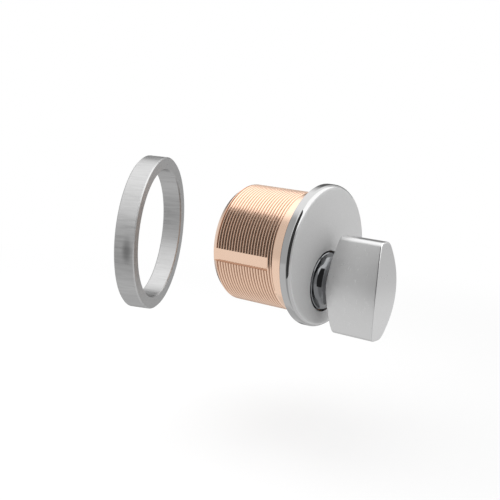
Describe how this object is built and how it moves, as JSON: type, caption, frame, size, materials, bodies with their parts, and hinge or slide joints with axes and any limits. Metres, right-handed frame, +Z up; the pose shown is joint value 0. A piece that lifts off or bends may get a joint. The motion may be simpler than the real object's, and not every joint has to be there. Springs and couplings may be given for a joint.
{
  "type": "thumb turn cylinder",
  "caption": "Threaded mortise lock cylinder with a round flange and an off-centre thumb turn that rotates a cam at its rear, shown with its loose collar ring.",
  "frame": {"origin": "centre of the flange's seating face, on the barrel's axis", "axes": "+Y along the barrel towards its rear end, -Y towards the thumb turn, +Z up with the thumb turn below the barrel's axis, +X to the right seen from the front"},
  "size_m": [0.0579, 0.0611, 0.0384],
  "materials": {
    "bare_brass": "turned, bare",
    "satin_chrome": "satin",
    "satin_collar": "brushed",
    "plug_brass": "turned",
    "zinc_plated_steel": "zinc plated",
    "spring_steel": "oiled",
    "cam_steel": "stamped, plated",
    "nylon": "moulded",
    "rubber": "moulded"
  },
  "bodies": {
    "cylinder": {"cylinder_body": "bare_brass", "collar_ring": "satin_collar"},
    "turn": {"thumb_turn": "satin_chrome", "plug": "plug_brass", "cross_pin": "zinc_plated_steel", "friction_washer": "nylon", "spring_washer": "spring_steel", "front_o_ring": "rubber", "rear_o_ring": "rubber", "cam": "cam_steel", "cam_screw_left": "zinc_plated_steel", "cam_screw_right": "zinc_plated_steel", "lock_washer_left": "spring_steel", "lock_washer_right": "spring_steel"}
  },
  "joints": [
    {"name": "thumb_turn_rotation", "type": "hinge", "parent": "cylinder", "child": "turn", "pos_m": [0, 0, -0.006], "axis": [0, 1, 0], "continuous": true}
  ]
}
